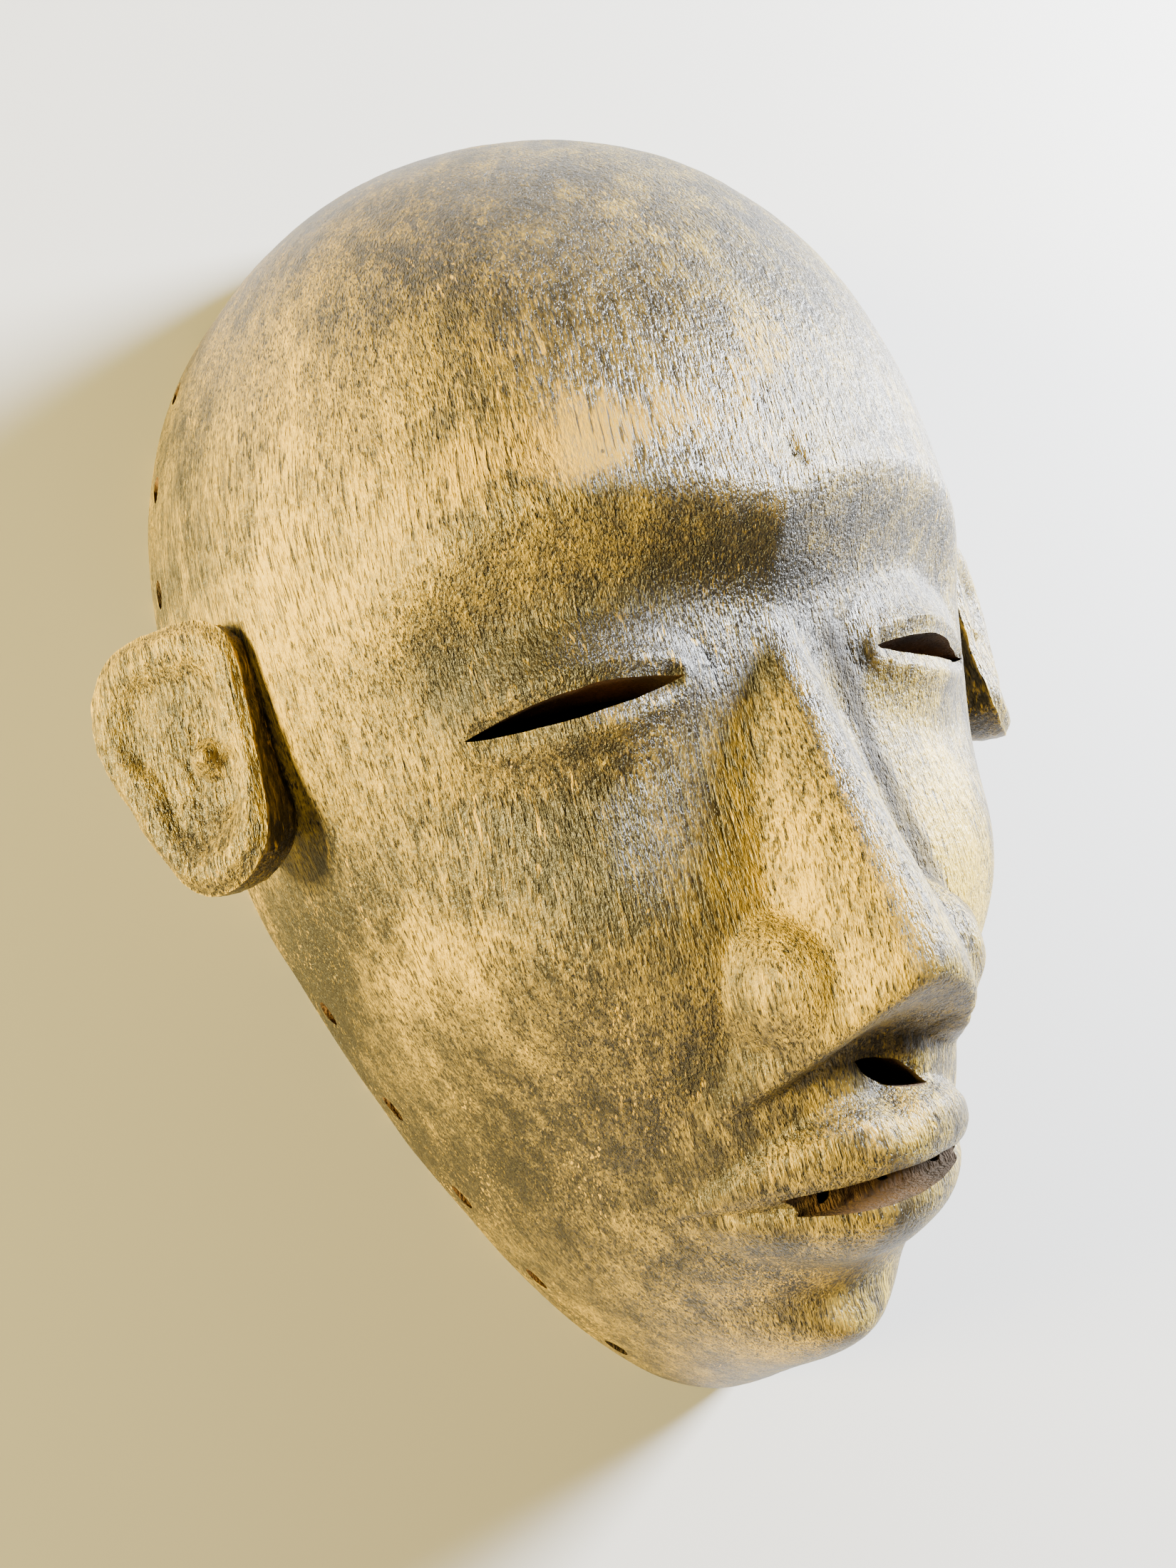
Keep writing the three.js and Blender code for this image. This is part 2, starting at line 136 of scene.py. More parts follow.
def value_noise(points, cell, seed):
    """Smooth noise from -1 to 1, at points in millimetres; cell is its grain along X, Y and Z."""
    q = points / np.asarray(cell, float) + SEED_SHIFT * seed
    whole = np.floor(q).astype(np.int64)
    f = q - whole
    f = f * f * (3 - 2 * f)
    total = np.zeros(points.shape[:-1])
    for corner in range(8):
        dx, dy, dz = corner & 1, corner >> 1 & 1, corner >> 2 & 1
        scrambled = (whole + np.array([dx, dy, dz])) * np.array(PLACE_HASH)
        n = scrambled[..., 0] ^ scrambled[..., 1] ^ scrambled[..., 2]
        n = (n ^ seed * SEED_HASH) & WORD
        n = ((n ^ n >> 15) * MIX_HASH[0]) & WORD
        n = ((n ^ n >> 13) * MIX_HASH[1]) & WORD
        value = ((n ^ n >> 16) & HALF_WORD) / (HALF_WORD / 2) - 1
        weight = np.where(dx, f[..., 0], 1 - f[..., 0])
        weight = weight * np.where(dy, f[..., 1], 1 - f[..., 1])
        total += value * weight * np.where(dz, f[..., 2], 1 - f[..., 2])
    return total


def layered_noise(points, cell, seed, layers=3):
    """Value noise with finer layers added, each half as coarse and half as strong."""
    total = np.zeros(points.shape[:-1])
    for k in range(layers):
        total += value_noise(points, np.asarray(cell, float) / 2**k, seed + k) / 2**k
    return total / (2 - 2 ** (1 - layers))


def tool_cells(x, y, wide, long, seed):
    """Scoops left by a gouge: 0 in the middle of each, rising to about 1 at the crests between them."""
    rows = y / long
    near = np.full(x.shape, 9.0)
    cell_y = np.floor(rows)
    for dy in (-1, 0, 1):
        row = cell_y + dy
        columns = x / wide + 0.5 * (row % 2)
        for dx in (-1, 0, 1):
            column = np.floor(columns) + dx
            n = column.astype(np.int64) * CELL_HASH[0] ^ row.astype(np.int64) * CELL_HASH[1]
            n = (n ^ seed * CELL_HASH[2]) & WORD
            n = ((n ^ n >> 13) * MIX_HASH[2]) & WORD
            jitter_x = (n & HALF_WORD) / HALF_WORD * 0.6 + 0.2
            jitter_y = (n >> 16) / HALF_WORD * 0.6 + 0.2
            near = np.minimum(near, (columns - column - jitter_x) ** 2 + (rows - row - jitter_y) ** 2)
    return np.minimum(near * 1.6, 1)


# Form of the head

def dome(X, Y, deep):
    """Height of the bare head over the unit disc."""
    rho = np.minimum(1, np.hypot(X, Y))
    return deep * (1 + CROWN_LEAN * Y) * (1 - rho**DOME_ROUND) ** (1 / DOME_FULL)


def lid_share(ax, y):
    """How far a place is from the middle of an eyelid, as a share of the lid."""
    return np.hypot((ax - LID["x"]) / LID["wide"], (y - LID["y"]) / LID["high"])


def modelling(x, y):
    """Brow, sockets, lids, cheeks, muzzle and chin, added to the dome."""
    ax = np.hypot(x, 1)
    brow = BROW["y"] + BROW["arch"] * (1 - ((ax - BROW["x"]) / BROW["wide"]) ** 2)
    under_brow = 1 - step(-BROW["soft"], BROW["soft"], y - brow)
    socket = under_brow * step(-46, -6, y) * (1 - step(40, 68, ax))
    brow_edge = np.exp(-(((y - brow - 4.5) / 6) ** 2)) * (1 - step(38, 62, ax))
    lid = 1 - step(0, 1.15, lid_share(ax, y))
    fold = np.clip((y + 46) / -24, 0, 1)
    fold_line = np.exp(-(((ax - 20.5 - 12 * fold) / 4.2) ** 2))
    return (
        3 * bump(x, y, 0, 52, 46, 34)
        - SOCKET_DEEP * socket
        + BROW["edge"] * brow_edge
        + LID["full"] * lid
        + 5 * bump(ax, y, 43, -32, 22, 17)
        - 3 * bump(ax, y, 42, -68, 15, 18)
        - 2 * bump(ax, y, 66, 4, 10, 22)
        + 8 * bump(x, y, 0, -74, 33, 22)
        + 11.5 * bump(x, y, 0, -104, 22, 13)
        - 3.2 * bump(x, y, 0, -91, 17, 4.5)
        - 1.3 * fold_line * step(-76, -64, y) * (1 - step(-48, -40, y))
    )


def nose(x, y):
    """A wedge that widens and rises toward its tip, cut off by a steep foot."""
    along = np.clip((NOSE["top"] - y) / NOSE["long"], 0, 1) * NOSE["tip"]
    over = np.maximum(0, y - 8)
    ridge = NOSE_HIGH["ridge"] + NOSE_HIGH["rise"] * along**1.15
    half = NOSE["half"] + NOSE["spread"] * along**1.25
    across = np.hypot(x / half, 0.34)
    base = NOSE_HIGH["base"]
    wedge = base + (ridge - base) * (1.12 - across**1.8) - 0.1 * over * over
    foot = NOSE_FOOT["z"] + (y - NOSE_FOOT["y"] - NOSE_FOOT["wave"] * np.cos(x / 7)) * NOSE_FOOT["steep"]
    return soft_min(wedge, foot, 7)


def nose_wing(x, y):
    """The round wing on each side of the nose."""
    ax = np.hypot(x, 1)
    inside = 1 - ((ax - WING["x"]) / WING["wide"]) ** 2 - ((y - WING["y"]) / WING["high"]) ** 2
    return WING["z"] + WING["full"] * np.sign(inside) * np.sqrt(np.abs(inside))


def mouth_line(x):
    return MOUTH_Y - 1.2 * (x / LIP_DOWN["half"]) ** 2


def lips(x, y):
    """The swell of the two lips over and under the mouth's line."""
    up_wide = np.maximum(0, 1 - (x / LIP_UP["half"]) ** 2)
    down_wide = np.maximum(0, 1 - (x / LIP_DOWN["half"]) ** 2)
    up_high = LIP_UP["high"] * up_wide**0.7 - LIP_UP["notch"] * np.exp(-((x / 4) ** 2)) + 0.001
    down_high = LIP_DOWN["high"] * down_wide**0.62 + 0.001
    up = (y - mouth_line(x)) / up_high
    down = (mouth_line(x) - y) / down_high
    swell_up = 0.52 + 0.48 * np.sin(np.pi * np.clip(up, 0, 1) ** 0.75)
    swell_down = 0.42 + 0.58 * np.sin(np.pi * np.clip(down, 0, 1) ** 0.9)
    upper = LIP_UP["full"] * up_wide**0.5 * (1 - step(0.82, 1.16, up)) * swell_up
    lower = LIP_DOWN["full"] * down_wide**0.5 * (1 - step(0.84, 1.14, down)) * swell_down
    return np.where(y > mouth_line(x), upper, lower)


def lens_distance(x, y, at, side=1):
    """How far a place is from a lens-shaped slit, in millimetres of the plan, and 0 inside it."""
    tilt = math.radians(side * at["tilt"])
    dx = x - side * at["x"]
    dy = y - at["y"]
    a = dx * math.cos(tilt) + dy * math.sin(tilt)
    b = -dx * math.sin(tilt) + dy * math.cos(tilt)
    half = at["high"] / 2 * np.maximum(0, 1 - (2 * a / at["long"]) ** 2)
    beyond = np.maximum(0, np.abs(a) - at["long"] / 2)
    return np.hypot(np.maximum(0, np.abs(b) - half), beyond)


def fine_carving(x, y):
    """Small carved forms over the main ones: lid edges, lip borders, philtrum and worn nicks."""
    ax = np.abs(x)
    slit = np.minimum(lens_distance(x, y, EYE_SLIT), lens_distance(x, y, EYE_SLIT, -1))
    lid_edge = 0.7 * np.exp(-(((slit - 2.6) / 1.2) ** 2)) - 0.9 * np.exp(-((slit / 1.1) ** 2))
    slot = -0.8 * np.exp(-((lens_distance(x, y, LIP_SLOT) / 1.4) ** 2))
    philtrum = -1.6 * bump(x, y, 0, -58, 3.2, 4.5)
    lid_crease = -0.5 * np.exp(-(((lid_share(ax, y) - 0.98) / 0.05) ** 2)) * step(-4, 2, y)
    nick = -0.9 * bump(x + 0.5 * (y - 25), y, 4.0, 25, 0.7, 2.2)
    return lid_edge + slot + philtrum + lid_crease + nick


def carved_height(X, Y, fine=False):
    """Height of the carved face over the unit disc, on the plan head; fine keeps the creases sharper."""
    x = PLAN_WIDE / 2 * (1 + EGG_SHARE * Y) * X
    y = PLAN_TALL / 2 * Y
    rho = np.hypot(X, Y)
    z = dome(X, Y, PLAN_DEEP) + modelling(x, y) * (1 - step(*CHEEK_FADE, rho))
    z = soft_max(z, nose(x, y), 1.2 if fine else 2)
    z = np.where(rho < 0.8, soft_max(z, nose_wing(x, y), 2.2 if fine else 3), z)
    return np.where(rho < 0.9, z + lips(x, y) + fine_carving(x, y), z)


def flare(z):
    """How far the head is drawn out toward its rim."""
    return RIM_FLARE * np.exp(-z / FLARE_HIGH)


def outer_point(X, Y):
    z = SZ * carved_height(X, Y, True)
    return np.stack([(HALF_WIDE + flare(z)) * (1 + EGG_SHARE * Y) * X, (HALF_TALL + flare(z)) * Y, z], -1)


def inner_point(X, Y):
    """A point of the hollow, which runs deeper behind the nose and mouth and less deep behind the eyes."""
    x = (HEAD_WIDE / 2 - RIM_WIDE) * (1 + EGG_SHARE * Y) * X
    y = (HEAD_TALL / 2 - RIM_WIDE) * Y
    px, py = x / SX, y / SY
    deeper = 9 * bump(px, py, 0, -34, 13, 20) + 8 * bump(px, py, 0, -76, 22, 16)
    deeper = deeper - 4 * bump(np.abs(px), py, 33, 0, 24, 16)
    return np.stack([x, y, dome(X, Y, HEAD_DEEP - WALL_THICK) + SZ * deeper], -1)


# Meshes

def disc_grid(columns, rows, across=0.0, along=0.0):
    """A square grid drawn onto the unit disc, closer together by across and along near the nose."""
    u, v = np.meshgrid(np.linspace(-1, 1, columns + 1), np.linspace(-1, 1, rows + 1))
    u = u * (1 - across * (1 - u * u))
    v = v - along / np.pi * (np.sin(np.pi * (v - GRID_MIDDLE)) - math.sin(np.pi * GRID_MIDDLE))
    a = u * np.sqrt(1 - v * v / 2)
    b = v * np.sqrt(1 - u * u / 2)
    r = np.hypot(a, b)
    spread = np.sin(np.minimum(r, 1) * (0.74 + 0.26 * r * r) * np.pi / 2)
    k = np.where(r > 1e-9, spread / np.maximum(r, 1e-9), 0)
    return a * k, b * k


def grid_normals(points):
    across = np.gradient(points, axis=1)
    along = np.gradient(points, axis=0)
    n = np.cross(across, along)
    return n / np.maximum(np.linalg.norm(n, axis=-1, keepdims=True), 1e-9)


def make_object(name, points, faces):
    mesh = bpy.data.meshes.new(name)
    mesh.from_pydata((np.asarray(points) * MM).tolist(), [], faces)
    mesh.update()
    made = bpy.data.objects.new(name, mesh)
    bpy.context.scene.collection.objects.link(made)
    return made


def grid_quads(columns, rows):
    k = np.arange((rows + 1) * (columns + 1)).reshape(rows + 1, columns + 1)
    quads = np.stack([k[:-1, :-1], k[:-1, 1:], k[1:, 1:], k[1:, :-1]], -1).reshape(-1, 4)
    ring = np.concatenate([k[0, :-1], k[:-1, -1], k[-1, :0:-1], k[:0:-1, 0]])
    return quads, ring


def under_dome(name, points, base):
    """A solid below a domed grid, closed by one flat face at base."""
    rows, columns = points.shape[0] - 1, points.shape[1] - 1
    quads, ring = grid_quads(columns, rows)
    flat = points.reshape(-1, 3).copy()
    flat[ring, 2] = 0
    faces = quads.tolist()
    if base < 0:
        skirt = flat[ring] * [1, 1, 0] + [0, 0, base]
        first = len(flat)
        flat = np.concatenate([flat, skirt])
        count = len(ring)
        for i in range(count):
            n = (i + 1) % count
            faces.append([int(ring[i]), first + i, first + n, int(ring[n])])
        ring = np.arange(first, first + count)
    faces.append(ring[::-1].tolist())
    return make_object(name, flat, faces)


def head_relief(points):
    """How far hand work and age leave the outer face from its clean form."""
    x, y, z = points[..., 0], points[..., 1], points[..., 2]
    wave = 0.45 * layered_noise(points, (34, 40, 34), 3, 2) + 0.12 * layered_noise(points, (9, 14, 9), 11, 2)
    facets = -0.10 * tool_cells(x + 2 * value_noise(points, 15, 7), y, 8, 13, 5)
    crust = crust_and_shade_mask(x / SX, y / SY) * (0.60 * layered_noise(points, (2.2, 3.4, 2.2), 21, 3) - 0.20)
    grain = 0.035 * value_noise(points, (0.9, 5, 0.9), 31)
    return wave + facets + crust + grain


def crust_and_shade_mask(x, y):
    """The rough, crusted crease between nose and far cheek, and the foot of the nose; its dark colour is
    partly painted shade, stronger on the far side.
    """
    edge = 7 + 11.5 * np.clip((14 - y) / 60, 0, 1) ** 1.2
    crease = np.exp(-(((np.abs(x) - edge - 1.5) / 3.4) ** 2)) * step(-56, -46, y) * (1 - step(0, 10, y))
    crease = crease * (0.30 + 0.70 * step(-2, 2, x))
    foot = 0.75 * bump(x, y, 4, -54, 15, 3.5)
    patch = 0.8 * bump(x, y, -25, -53, 5, 5)
    return np.clip(crease + foot + patch, 0, 1)


def outer_solid():
    """The head's outside, with closer rows across the face and round the nose and mouth."""
    X, Y = disc_grid(*OUTER_GRID, across=0.30, along=0.36)
    points = outer_point(X, Y)
    normals = grid_normals(points)
    rho = np.hypot(X, Y)
    fade = 1 - step(0.985, 1.0, rho)
    relief = head_relief(points) * fade
    points = points + normals * relief[..., None]
    # the hewn rim edge is worn round, a little more in some places than in others
    edge = np.exp(-points[..., 2] / 1.3)
    worn = edge * (0.9 + 0.6 * value_noise(points, (11, 11, 400), 41))
    points[..., :2] *= (1 - worn / 100)[..., None]
    return under_dome("outer", points, 0)


def hollow_cutter():
    X, Y = disc_grid(*INNER_GRID)
    points = inner_point(X, Y)
    normals = grid_normals(points)
    scoops = tool_cells(points[..., 0] + 1.5 * value_noise(points, 12, 8), points[..., 1], 8.5, 21, 9)
    rough = 0.22 * layered_noise(points, (3, 8, 3), 51, 2)
    fade = 1 - step(0.97, 1.0, np.hypot(X, Y))
    points = points + normals * ((0.35 - 1.1 * scoops + rough) * fade)[..., None]
    return under_dome("hollow", points, -RIM_WIDE)


def ear_radius(angle):
    """The ear's outline as a smooth curve through its reaches, counter-clockwise from the outer side."""
    n = len(EAR_REACH)
    t = (angle / (2 * np.pi) * n) % n
    k = np.floor(t).astype(int)
    f = t - k
    a, b, c, d = (EAR_REACH[(k + i) % n] for i in (-1, 0, 1, 2))
    return b + 0.5 * f * (c - a + f * (2 * a - 5 * b + 4 * c - d + f * (3 * (b - c) + d - a)))


def ear_relief(X, Y, reach):
    """Height of the ear's front: a helix band round a shallow bowl, with a knob by the head."""
    r = np.hypot(X, Y)
    band = 1 - EAR_HELIX / reach
    bowl = 1 - step(band - EAR_BOWL_SLOPE, band, r)
    medial = 2 * bump(X, Y, -0.35, -0.8, 0.5, 0.3)
    off = np.hypot((X - EAR_KNOB["x"]) / EAR_KNOB["wide"], (Y - EAR_KNOB["y"]) / EAR_KNOB["tall"])
    knob = EAR_KNOB["high"] * (1 - step(0.3, 1.3, off))
    concha = -1.8 * bump(X, Y, -0.24, 0, 0.34, 0.34)
    rounding = -1.4 * step(0.84, 1, r) ** 2
    return EAR["thick"] / EAR_PLAN["thick"] * (medial + knob + concha + rounding) - EAR_BOWL * bowl


def ear_fine(X, Y, points):
    """Carved lines round the bowl, the pit beside the knob and the rough concha."""
    r = np.hypot(X, Y)
    around = np.hypot(X + 0.25, Y + 0.02)
    inside = (1 - step(0.66, 0.76, r)) * step(0.25, 0.4, around)
    lines = 0.035 * np.sin(around * 62 + 2 * value_noise(points, 7, 61)) * inside
    pit = -1.3 * bump(X, Y, -0.58, -0.20, 0.14, 0.14) - 1.0 * bump(X, Y, -0.30, -0.40, 0.22, 0.10)
    concha = bump(X, Y, -0.22, 0.12, 0.22, 0.26)
    rough = (0.42 + 0.7 * concha) * layered_noise(points, (1.4, 3.4, 1.4), 71, 3)
    return lines + pit + rough


def head_side(y, z):
    """Where the head's side stands at a height over the rim."""
    Y = y / HALF_TALL
    X = np.linspace(0, math.sqrt(1 - Y * Y), 4000)
    clean = SZ * carved_height(X, np.full_like(X, Y))
    return float((HALF_WIDE + flare(z)) * (1 + EGG_SHARE * Y) * X[clean > z][-1])


def ear_solid(side):
    """One plate ear, turned out from the head's side."""
    turn = math.radians(EAR["turn"])
    lean = math.radians(EAR["lean"])
    out = np.array([math.cos(turn), 0, -math.sin(turn)])
    normal = np.array([math.sin(turn), 0, math.cos(turn)])
    up = np.array([0, 1.0, 0])
    across = out * math.cos(lean) - up * math.sin(lean)
    along = up * math.cos(lean) + out * math.sin(lean)
    y, z = EAR_AT[0] * SY, EAR_AT[1] * SZ
    middle = np.array([head_side(y, z) + EAR["out"], y, z])
    count = EAR_RINGS["around"]
    angle = np.linspace(0, 2 * np.pi, count, endpoint=False)
    full = ear_radius(angle)
    reach = full * EAR["wide"] / EAR_PLAN["wide"]

    def ring(share, height, spread=1.0):
        """One ring of points: share of the unit disc, height along the normal, spread of the outline."""
        a = share * spread * np.cos(angle) * full * EAR["wide"] / EAR_PLAN["wide"]
        b = share * spread * np.sin(angle) * full * EAR["tall"] / EAR_PLAN["tall"]
        return middle + a[:, None] * across + b[:, None] * along + np.asarray(height)[..., None] * normal

    rings = []
    for share in np.linspace(0.03, 1, EAR_RINGS["front"]):
        X, Y = share * np.cos(angle), share * np.sin(angle)
        height = ear_relief(X, Y, reach)
        base = ring(share, height)
        rings.append(ring(share, height + ear_fine(X, Y, base)))
    front_edge = ear_relief(np.cos(angle), np.sin(angle), reach)
    medial = step(0.1, 0.8, -np.cos(angle))
    for t in np.linspace(0, 1, EAR_RINGS["side"] + 2)[1:-1]:
        height = front_edge + (-EAR["thick"] - front_edge) * t
        base = ring(1, height)
        rough = layered_noise(base, (1.2, 4, 1.2), 81, 3) * (0.012 + 0.03 * medial)
        bulge = 1 - 0.05 * t + 0.02 * math.sin(math.pi * t) + rough
        rings.append(ring(1, height, bulge))
    for share in np.linspace(1, 0.04, EAR_RINGS["back"]):
        X = share * np.cos(angle)
        root = EAR_ROOT * (1 - step(-0.7, 0.5, X)) * (1 - step(0.7, 1, share))
        height = -EAR["thick"] - root
        base = ring(share, height, 0.95)
        rings.append(ring(share, height + 0.3 * layered_noise(base, (3, 6, 3), 91, 2), 0.95))
    points = np.concatenate(rings)
    points[:, 0] *= side
    faces = []
    for j in range(len(rings) - 1):
        for i in range(count):
            n = (i + 1) % count
            faces.append([j * count + i, (j + 1) * count + i, (j + 1) * count + n, j * count + n])
    faces.append(list(range(count)))
    faces.append(list(range(len(points) - 1, len(points) - count - 1, -1)))
    if side < 0:
        faces = [f[::-1] for f in faces]
    return make_object("ear", points, faces)


def slit_cutter(at, side, bottom, seed):
    """A lens-shaped cutter with slightly ragged sides, from bottom right out of the face."""
    tilt = math.radians(side * at["tilt"])
    spans = 26
    outline = []
    for k in range(2 * spans):
        s = k / spans
        a = -1 + 2 * s if s <= 1 else 3 - 2 * s
        edge = (1 - a * a) * (-1 if s <= 1 else 1)
        outline.append((a * at["long"] / 2, edge * at["high"] / 2))
    outline = np.array(outline)
    levels = np.linspace(bottom, 1.6 * HEAD_DEEP, 14)
    points = []
    for z in levels:
        place = np.stack([outline[:, 0], outline[:, 1], np.full(len(outline), z)], -1)
        ragged = 0.22 * layered_noise(place, (2.2, 0.9, 3.0), seed, 2)
        b = outline[:, 1] * (1 + ragged / (at["high"] / 2))
        x = side * at["x"] * SX + outline[:, 0] * math.cos(tilt) - b * math.sin(tilt)
        y = at["y"] * SY + outline[:, 0] * math.sin(tilt) + b * math.cos(tilt)
        points.append(np.stack([x, y, np.full(len(outline), z)], -1))
    return tube_object("slit", points)


def tube_object(name, rings):
    """A closed tube through rings of equal count, each counter-clockwise seen from the last ring's end."""
    count = len(rings[0])
    faces = [list(range(count))[::-1], [(len(rings) - 1) * count + i for i in range(count)]]
    for j in range(len(rings) - 1):
        for i in range(count):
            n = (i + 1) % count
            faces.append([j * count + i, j * count + n, (j + 1) * count + n, (j + 1) * count + i])
    return make_object(name, np.concatenate(rings), faces)


def mouth_floor():
    """Height of the gouge's floor over the rim."""
    lip_line = np.array(MOUTH_Y / (PLAN_TALL / 2))
    return SZ * float(carved_height(np.array(0.0), lip_line)) - MOUTH_CUT["deep"]


def mouth_cutter():
    """The rough gouge between the lips: a scooped floor that follows the lips' surface."""
    s = np.linspace(-1, 1, 61)
    t = np.linspace(-1, 1, 13)
    S, T = np.meshgrid(s, t)
    half = MOUTH_CUT["high"] / 2 * np.sqrt(np.maximum(0.0004, 1 - S * S))
    x = S * MOUTH_CUT["long"] / 2
    edge = 0.25 * layered_noise(np.stack([x, T * 3, 0 * x], -1), (2.6, 2.0, 2.0), 101, 2)
    y = MOUTH_CUT["y"] * SY + T * half + edge * np.abs(T)
    X = x / (HALF_WIDE * (1 + EGG_SHARE * y / HALF_TALL))
    top = SZ * carved_height(X, y / HALF_TALL)
    ends = step(0.7, 1.0, np.abs(S))
    rough = 0.6 * layered_noise(np.stack([x, y, 0 * x], -1), (2.4, 1.2, 2.0), 111, 3)
    bottom = mouth_floor() * (1 - ends) + (top + 0.5) * ends + rough
    rows, columns = len(t) - 1, len(s) - 1
    quads, ring = grid_quads(columns, rows)
    lower = np.stack([x, y, bottom], -1).reshape(-1, 3)
    upper = lower[ring] * [1, 1, 0] + [0, 0, 1.5 * HEAD_DEEP]
    first = len(lower)
    faces = quads[:, ::-1].tolist()
    for i in range(len(ring)):
        n = (i + 1) % len(ring)
        faces.append([int(ring[i]), int(ring[n]), first + n, first + i])
    faces.append([first + i for i in range(len(ring))])
    return make_object("mouth", np.concatenate([lower, upper]), faces)


def bore_cutter(start, way, bore, long, seed):
    """A hand-burnt hole, not quite round, from start along way."""
    way = np.asarray(way, float)
    way = way / np.linalg.norm(way)
    side = np.cross(way, [0.1, 0.2, 1.0])
    side = side / np.linalg.norm(side)
    other = np.cross(way, side)
    angle = np.linspace(0, 2 * np.pi, 14, endpoint=False)
    rings = []
    for t in np.linspace(0, 1, 9):
        centre = np.asarray(start) + way * long * t
        wobble = 1 + 0.10 * np.sin(2 * angle + seed) + 0.06 * np.sin(3 * angle + 2.3 * seed + 4 * t)
        around = np.cos(angle)[:, None] * side + np.sin(angle)[:, None] * other
        rings.append(centre + bore / 2 * wobble[:, None] * around)
    return tube_object("bore", rings)


def rim_places(pitch):
    """Even places round the rim, with the ways along it and out of it."""
    angle = np.linspace(0, 2 * np.pi, 721)
    X, Y = np.sin(angle), -np.cos(angle)
    rim = np.stack([HEAD_WIDE / 2 * (1 + EGG_SHARE * Y) * X, HEAD_TALL / 2 * Y, 0 * X], -1)
    run = np.concatenate([[0], np.cumsum(np.linalg.norm(np.diff(rim, axis=0), axis=1))])
    count = round(run[-1] / pitch)
    for k in range(count):
        i = int(np.searchsorted(run, (k + 0.5) * run[-1] / count)) - 1
        along = rim[i + 1] - rim[i]
        along = along / np.linalg.norm(along)
        yield rim[i], along, np.array([along[1], -along[0], 0])


def tie_cutters():
    """The slanted holes beside the rim, save under the ears."""
    slant = math.radians(TIE["slant"])
    for k, (at, along, outward) in enumerate(rim_places(TIE["pitch"])):
        if abs(at[1] - EAR_AT[0] * SY) < EAR["tall"] / 2 + TIE["bore"]:
            continue
        side = 1 if at[0] > 0 else -1
        way = outward * math.cos(slant) + along * side * math.sin(slant)
        start = at + [0, 0, TIE["up"]] - way * 2.5 * RIM_WIDE
        yield bore_cutter(start, way, TIE["bore"], 4 * RIM_WIDE, k)


def mouth_bores():
    """The small holes through the gouge's floor."""
    for k, x in enumerate(MOUTH_CUT["holes"]):
        start = (x * SX, MOUTH_CUT["y"] * SY, mouth_floor() - 1.5 * WALL_THICK)
        yield bore_cutter(start, (0, 0, 1), MOUTH_CUT["bore"], 3 * WALL_THICK, 31 + k)


def boolean(target, tool, operation):
    """Joins the tool to the target or cuts it out, and removes the tool."""
    cut = target.modifiers.new("cut", "BOOLEAN")
    cut.solver = "MANIFOLD"
    cut.operation = operation
    cut.object = tool
    graph = bpy.context.evaluated_depsgraph_get()
    mesh = bpy.data.meshes.new_from_object(target.evaluated_get(graph))
    target.modifiers.clear()
    target.data = mesh
    bpy.data.objects.remove(tool)


# Wood

